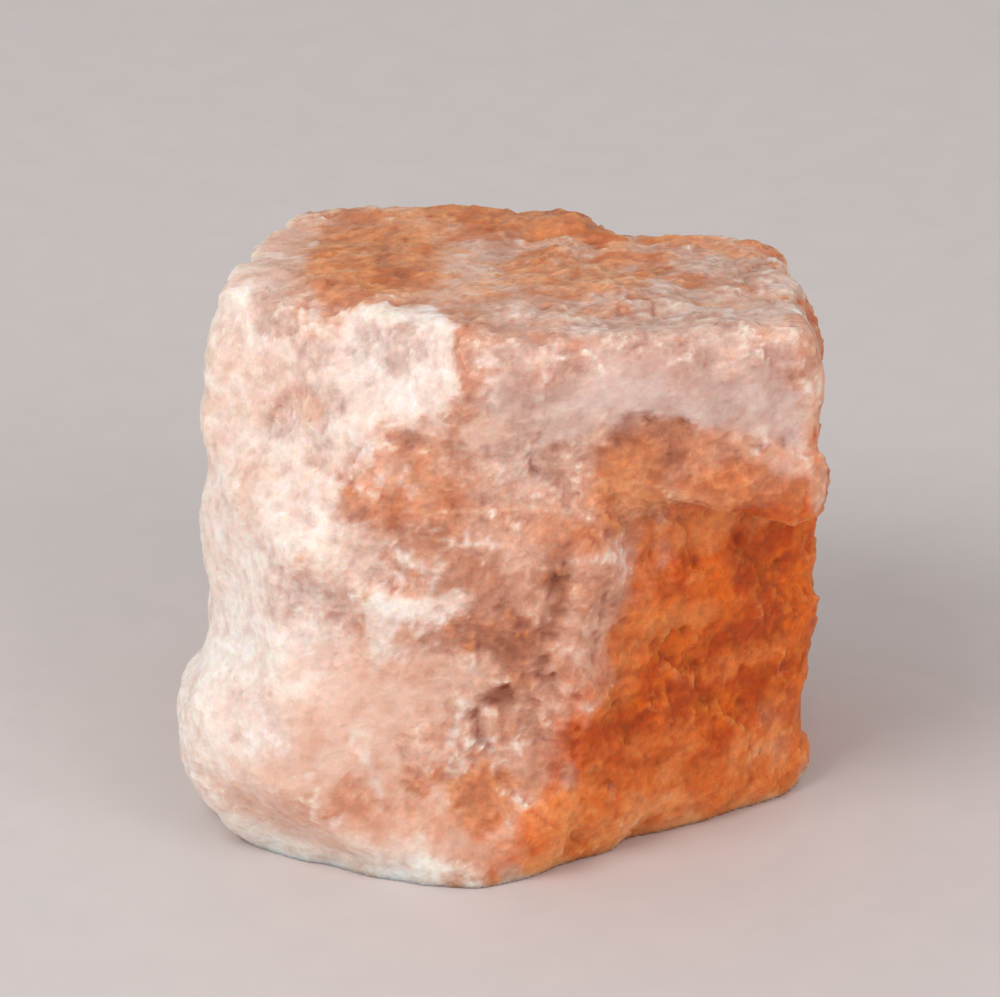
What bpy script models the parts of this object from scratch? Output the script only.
"""One cubic block of rock salt, broken along its cleavage and standing flat on one broken face.

Metres, +Z up. The broad front is towards -Y and the left side towards -X. The origin is on the
surface that the block rests on, under the middle of its outline.
"""

import math
from typing import NamedTuple

import bmesh
import bpy
from mathutils import Euler, Matrix, Vector, noise

MM = 0.001

# The block's size over its main faces, before it is broken and worn
WIDTH = 30 * MM
DEPTH = 26 * MM
HEIGHT = 28 * MM

# The rough box that the faces are broken out of, in shares of the block
ROUGH_WIDTH = 1.3
ROUGH_DEPTH = 1.3

# How fine the balls of the chips and the swellings are
BALL_SUBDIVISIONS = 4

# The mesh: the cell of its even stage, the smoothing passes that wear its edges round, how far
# each pass goes, the number of triangles that are left, and the shortest edge that stays
CELL = 0.42 * MM
WEAR_PASSES = 3
WEAR = 0.5
TRIANGLES = 7800
SHORTEST_EDGE = 0.02 * MM

# How deep the bottom is worn flat, so that the block stands on one level face
SEAT_CUT = 0.45 * MM

# Salt's colour in the solid
SALT_COLOUR = (0.80, 0.43, 0.28, 1.0)
SALT_ROUGHNESS = 0.45


class Facet(NamedTuple):
    """A broken face: which way it looks, and a point that it passes through.

    heading is in degrees, from the front (0) towards the right (90). rise is in degrees above
    level. through is in shares of width, depth and height, from the middle of the base.
    """

    name: str
    heading: float
    rise: float
    through: tuple


class Notch(NamedTuple):
    """A square step along the cleavage: a box with one corner in the block.

    corner is in shares of the block. reach is how far the box runs from there along its own
    axes, in millimetres with a sign, and turn is its rotation in degrees.
    """

    name: str
    corner: tuple
    reach: tuple
    turn: tuple


class Scoop(NamedTuple):
    """A shell-shaped chip: a ball of the given radius that bites to the given depth.

    at is in shares of the block, on its worn surface. heading and rise say where the ball is.
    """

    at: tuple
    heading: float
    rise: float
    radius: float
    depth: float


class Lump(NamedTuple):
    """A swelling: an ellipsoid at a place in shares of the block, radii in millimetres."""

    name: str
    at: tuple
    radii: tuple


FACETS = (
    Facet("front", 0, 4, (-0.10, -0.50, 0.04)),
    Facet("upper_right_front", 13, 4, (0.15, -0.48, 0.79)),
    Facet("right", 91, -1, (0.492, -0.10, 0.36)),
    Facet("right_shoulder", 95, 27, (0.505, 0.10, 0.785)),
    Facet("right_crown", 116, 52, (0.44, 0.26, 0.818)),
    Facet("top", 174, 81, (0.0, -0.42, 0.970)),
    Facet("upper_left_corner", -40, 32, (-0.067, -0.43, 0.880)),
    Facet("left", -58, 1, (-0.432, -0.25, 0.43)),
    Facet("left_rear", -103, 2, (-0.447, -0.265, 0.97)),
    Facet("back_left", -132, 5, (-0.42, 0.31, 0.50)),
    Facet("back", 177, 7, (0.0, 0.50, 0.20)),
    Facet("back_right", 128, -3, (0.45, 0.34, 0.40)),
)

# The foot's own breaks, made after the swellings are on
HEELS = (
    Facet("front_heel", -28, -27, (-0.20, -0.43, 0.016)),
    Facet("front_toe", 34, -30, (0.11, -0.41, 0.016)),
    Facet("right_heel", 62, -30, (0.50, -0.06, 0.035)),
    Facet("left_heel", -60, -36, (-0.42, -0.225, 0.03)),
)

NOTCHES = (
    # The shaded lower right, set back under an overhanging ledge
    Notch("under_ledge", (0.15, -0.49, 0.715), (26, -12, -30), (3, 15, 40)),
    # The step that the top right stands lower by
    Notch("top_step", (0.085, -0.60, 1.001), (20, 36, 12), (-10.5, 0, -4)),
    # The square step beside the upper left corner
    Notch("corner_step", (-0.067, -0.428, 0.79), (-20, -8, 12), (3, 0, -7)),
    # Terraces on the back and the sides
    Notch("back_terrace_low", (-0.10, 0.42, 0.34), (26, 12, -14), (4, 2, -3)),
    Notch("back_terrace_high", (0.08, 0.43, 0.60), (22, 12, 16), (5, -3, -3)),
    Notch("right_terrace", (0.44, 0.06, 0.52), (10, 26, 14), (0, 3, 1)),
    Notch("left_terrace", (-0.36, 0.08, 0.52), (-12, 26, 18), (3, -2, 10)),
)

SCOOPS = (
    Scoop((0.18, -0.47, 0.06), 30, -20, 5.0, 1.0),
    Scoop((0.33, -0.44, 0.93), 20, 45, 4.5, 0.8),
    Scoop((-0.22, -0.47, 0.47), -10, 5, 9.0, 0.5),
    Scoop((-0.05, -0.50, 0.30), 5, 0, 7.0, 0.45),
    Scoop((-0.43, -0.10, 0.36), -70, 10, 6.0, 0.3),
    Scoop((0.48, 0.16, 0.33), 95, 0, 7.0, 0.4),
    Scoop((-0.20, 0.05, 0.95), -60, 70, 7.0, 0.6),
    Scoop((0.26, 0.02, 0.93), 120, 70, 6.0, 0.4),
    Scoop((-0.15, 0.49, 0.55), 180, 10, 8.0, 0.9),
    Scoop((0.10, 0.48, 0.88), 175, 45, 5.0, 0.8),
    Scoop((-0.44, 0.30, 0.16), -120, -15, 5.5, 0.9),
    Scoop((0.05, -0.46, 0.93), 0, 50, 3.5, 0.5),
)

LUMPS = (
    Lump("left_foot", (-0.285, -0.21, 0.17), (5.8, 6.9, 8.6)),
    Lump("front_foot", (-0.02, -0.28, 0.08), (7.5, 5.0, 4.4)),
)


class Grain(NamedTuple):
    """One size of broken crystal in the surface.

    size is the crystals' spacing and lean the steepest tilt of their faces, as a slope. calm is
    the share of the surface that keeps flat cleavage between the rough patches.
    """

    size: float
    lean: float
    calm: float
    offset: Vector


GRAINS = (
    Grain(6.2 * MM, 0.09, 0.0, Vector((0.31, 0.17, 0.53))),
    Grain(2.7 * MM, 0.11, 0.35, Vector((0.71, 0.42, 0.11))),
    Grain(1.5 * MM, 0.12, 0.55, Vector((0.23, 0.88, 0.37))),
)

# Keeps one crystal's tilt from being the next one's
TILT_STRIDE = 7.0

# The slow swell of every face
SWELL_LENGTH = 11 * MM
SWELL_DEPTH = 0.45 * MM

# Rough patches between calm ones: their length, the mean and the spread of the roughness, and
# how softly one goes over into the other
ROUGH_PATCH = 8 * MM
ROUGH_MEAN = 0.5
ROUGH_SPREAD = 0.9
ROUGH_SOFTNESS = 0.18

# Dissolved pits: the share of the places that stay without one, and the flat share of a pit
PIT_SPACING = 3.1 * MM
PIT_RADIUS = 0.65 * MM
PIT_DEPTH = 0.40 * MM
PIT_STRIDE = 11.0
PIT_FREE = 0.45
PIT_FLOOR = 0.2


def clear_scene():
    """Removes whatever the file holds."""
    for obj in list(bpy.data.objects):
        bpy.data.objects.remove(obj, do_unlink=True)


def collection(name):
    """A new collection in the scene."""
    made = bpy.data.collections.new(name)
    bpy.context.scene.collection.children.link(made)
    return made


def place(shares):
    """A point given in shares of the block, in metres."""
    x, y, z = shares
    return Vector((x * WIDTH, y * DEPTH, z * HEIGHT))


def looking(heading, rise):
    """The unit vector of a heading and a rise in degrees."""
    turn, lift = math.radians(heading), math.radians(rise)
    level = math.cos(lift)
    return Vector((math.sin(turn) * level, -math.cos(turn) * level, math.sin(lift)))


def smooth_step(low, high, value):
    """0 under low, 1 over high, and a soft rise between them."""
    share = min(1.0, max(0.0, (value - low) / (high - low)))
    return share * share * (3.0 - 2.0 * share)


def mesh_object(name, bm, into):
    """The bmesh as a new object of that collection."""
    mesh = bpy.data.meshes.new(name)
    bm.to_mesh(mesh)
    bm.free()
    obj = bpy.data.objects.new(name, mesh)
    into.objects.link(obj)
    return obj


def cleave(bm, facet):
    """Breaks off what lies outside the facet and closes the break with a flat face."""
    cut = bmesh.ops.bisect_plane(
        bm,
        geom=bm.verts[:] + bm.edges[:] + bm.faces[:],
        plane_co=place(facet.through),
        plane_no=looking(facet.heading, facet.rise),
        clear_outer=True,
    )
    rim = [item for item in cut["geom_cut"] if isinstance(item, bmesh.types.BMEdge)]
    if rim:
        bmesh.ops.edgeloop_fill(bm, edges=rim)


def cleaved_block(into):
    """The block with its main faces, from a box that is broken along each facet."""
    bm = bmesh.new()
    bmesh.ops.create_cube(bm, size=1.0)
    rough = (WIDTH * ROUGH_WIDTH, DEPTH * ROUGH_DEPTH, HEIGHT)
    bmesh.ops.scale(bm, vec=rough, verts=bm.verts)
    bmesh.ops.translate(bm, vec=(0, 0, HEIGHT / 2), verts=bm.verts)
    for facet in FACETS:
        cleave(bm, facet)
    bmesh.ops.recalc_face_normals(bm, faces=bm.faces)
    return mesh_object("salt_crystal", bm, into)


def as_cutter(obj):
    """Marks a helper that shapes the block and isn't part of it."""
    obj.hide_render = True
    obj.display_type = "WIRE"
    return obj


def notch_cutter(notch, into):
    """The box of a cleavage step."""
    bm = bmesh.new()
    bmesh.ops.create_cube(bm, size=1.0)
    bmesh.ops.translate(bm, vec=(0.5, 0.5, 0.5), verts=bm.verts)
    bmesh.ops.scale(bm, vec=[side * MM for side in notch.reach], verts=bm.verts)
    turn = Euler([math.radians(angle) for angle in notch.turn]).to_matrix()
    bmesh.ops.rotate(bm, cent=(0, 0, 0), matrix=turn, verts=bm.verts)
    bmesh.ops.translate(bm, vec=place(notch.corner), verts=bm.verts)
    bmesh.ops.recalc_face_normals(bm, faces=bm.faces)
    return as_cutter(mesh_object(notch.name, bm, into))


def scoop_cutter(index, scoop, into):
    """The ball of a shell-shaped chip."""
    bm = bmesh.new()
    radius, depth = scoop.radius * MM, scoop.depth * MM
    centre = place(scoop.at) + looking(scoop.heading, scoop.rise) * (radius - depth)
    bmesh.ops.create_icosphere(
        bm, subdivisions=BALL_SUBDIVISIONS, radius=radius, matrix=Matrix.Translation(centre)
    )
    return as_cutter(mesh_object(f"scoop_{index:02d}", bm, into))


def lump_body(lump, into):
    """The ellipsoid of a swelling."""
    bm = bmesh.new()
    bmesh.ops.create_icosphere(bm, subdivisions=BALL_SUBDIVISIONS, radius=1.0)
    bmesh.ops.scale(bm, vec=[radius * MM for radius in lump.radii], verts=bm.verts)
    bmesh.ops.translate(bm, vec=place(lump.at), verts=bm.verts)
    return as_cutter(mesh_object(lump.name, bm, into))


def cleave_heels(block):
    """Breaks the foot's corners off the joined block."""
    bm = bmesh.new()
    bm.from_mesh(block.data)
    for facet in HEELS:
        cleave(bm, facet)
    bm.to_mesh(block.data)
    bm.free()


def combine(block, other, operation):
    """Joins the other body to the block, or cuts it from the block."""
    modifier = block.modifiers.new(other.name, "BOOLEAN")
    modifier.operation = operation
    modifier.object = other


def remesh(block):
    """Spreads an even mesh over the block."""
    modifier = block.modifiers.new("even_cells", "REMESH")
    modifier.mode = "VOXEL"
    modifier.voxel_size = CELL


def settle(block):
    """Turns the block's modifiers into its own mesh."""
    graph = bpy.context.evaluated_depsgraph_get()
    mesh = bpy.data.meshes.new_from_object(block.evaluated_get(graph))
    block.modifiers.clear()
    block.data = mesh


def crystal_face(point, grain):
    """How far the broken crystal at a point stands out of the surface.

    The surface is shared out among scattered crystals, and each one's face has a tilt of its
    own, so that flat faces meet in ridges and furrows.
    """
    scaled = point / grain.size + grain.offset
    seeds = noise.voronoi(scaled)[1]
    tilt = noise.cell_vector(seeds[0] * TILT_STRIDE)
    return tilt.dot(scaled - seeds[0]) * grain.lean * grain.size


def roughness_at(point, calm):
    """0 on a calm cleavage patch and 1 on a rough broken one."""
    if calm <= 0:
        return 1.0
    level = noise.noise(point / ROUGH_PATCH) * ROUGH_SPREAD + ROUGH_MEAN
    return smooth_step(calm - ROUGH_SOFTNESS, calm + ROUGH_SOFTNESS, level)


def pit_at(point):
    """How deep a dissolved pit is at a point, for the few crystals that have one."""
    scaled = point / PIT_SPACING
    distances, seeds = noise.voronoi(scaled)
    chosen = noise.cell(seeds[0] * PIT_STRIDE) > PIT_FREE
    near = distances[0] * PIT_SPACING / PIT_RADIUS
    return PIT_DEPTH * (1.0 - smooth_step(PIT_FLOOR, 1.0, near)) if chosen else 0.0


def break_surface(block):
    """Moves each vertex along its normal to the broken crystals' faces."""
    bm = bmesh.new()
    bm.from_mesh(block.data)
    for _ in range(WEAR_PASSES):
        bmesh.ops.smooth_vert(
            bm, verts=bm.verts, factor=WEAR, use_axis_x=True, use_axis_y=True, use_axis_z=True
        )
    bm.normal_update()
    moves = []
    for vert in bm.verts:
        point = vert.co
        out = noise.noise(point / SWELL_LENGTH) * SWELL_DEPTH - pit_at(point)
        for grain in GRAINS:
            out += crystal_face(point, grain) * roughness_at(point, grain.calm)
        moves.append((vert, vert.normal * out))
    for vert, move in moves:
        vert.co += move
    bm.to_mesh(block.data)
    bm.free()


def thin_out(block):
    """Keeps the triangles that the broken faces need. The even stage has squares."""
    modifier = block.modifiers.new("fewer_faces", "DECIMATE")
    triangles_before = 2 * len(block.data.polygons)
    modifier.ratio = TRIANGLES / triangles_before
    modifier.use_collapse_triangulate = True


def seat(block):
    """Wears the bottom level and puts the origin under the middle of the block."""
    bm = bmesh.new()
    bm.from_mesh(block.data)
    cut = bmesh.ops.bisect_plane(
        bm,
        geom=bm.verts[:] + bm.edges[:] + bm.faces[:],
        plane_co=(0, 0, SEAT_CUT),
        plane_no=(0, 0, -1),
        clear_outer=True,
    )
    rim = [item for item in cut["geom_cut"] if isinstance(item, bmesh.types.BMEdge)]
    bmesh.ops.holes_fill(bm, edges=rim)
    bmesh.ops.dissolve_degenerate(bm, dist=SHORTEST_EDGE, edges=bm.edges)
    bmesh.ops.triangulate(bm, faces=bm.faces)
    xs = [vert.co.x for vert in bm.verts]
    ys = [vert.co.y for vert in bm.verts]
    middle = Vector(((min(xs) + max(xs)) / 2, (min(ys) + max(ys)) / 2, SEAT_CUT))
    bmesh.ops.translate(bm, vec=-middle, verts=bm.verts)
    bm.to_mesh(block.data)
    bm.free()


def salt_material():
    """Pink rock salt."""
    material = bpy.data.materials.new("pink_rock_salt")
    material.use_nodes = True
    shader = material.node_tree.nodes["Principled BSDF"]
    shader.inputs["Base Color"].default_value = SALT_COLOUR
    shader.inputs["Roughness"].default_value = SALT_ROUGHNESS
    shader.inputs["Metallic"].default_value = 0.0
    return material


def main():
    """Builds the block."""
    clear_scene()
    parts = collection("halite_crystal")
    helpers = collection("cutters")
    block = cleaved_block(parts)
    for lump in LUMPS:
        combine(block, lump_body(lump, helpers), "UNION")
    for notch in NOTCHES:
        combine(block, notch_cutter(notch, helpers), "DIFFERENCE")
    for index, scoop in enumerate(SCOOPS):
        combine(block, scoop_cutter(index, scoop, helpers), "DIFFERENCE")
    settle(block)
    cleave_heels(block)
    remesh(block)
    settle(block)
    break_surface(block)
    remesh(block)
    settle(block)
    thin_out(block)
    settle(block)
    seat(block)
    block.data.materials.append(salt_material())
    for helper in list(helpers.objects):
        bpy.data.objects.remove(helper, do_unlink=True)


main()
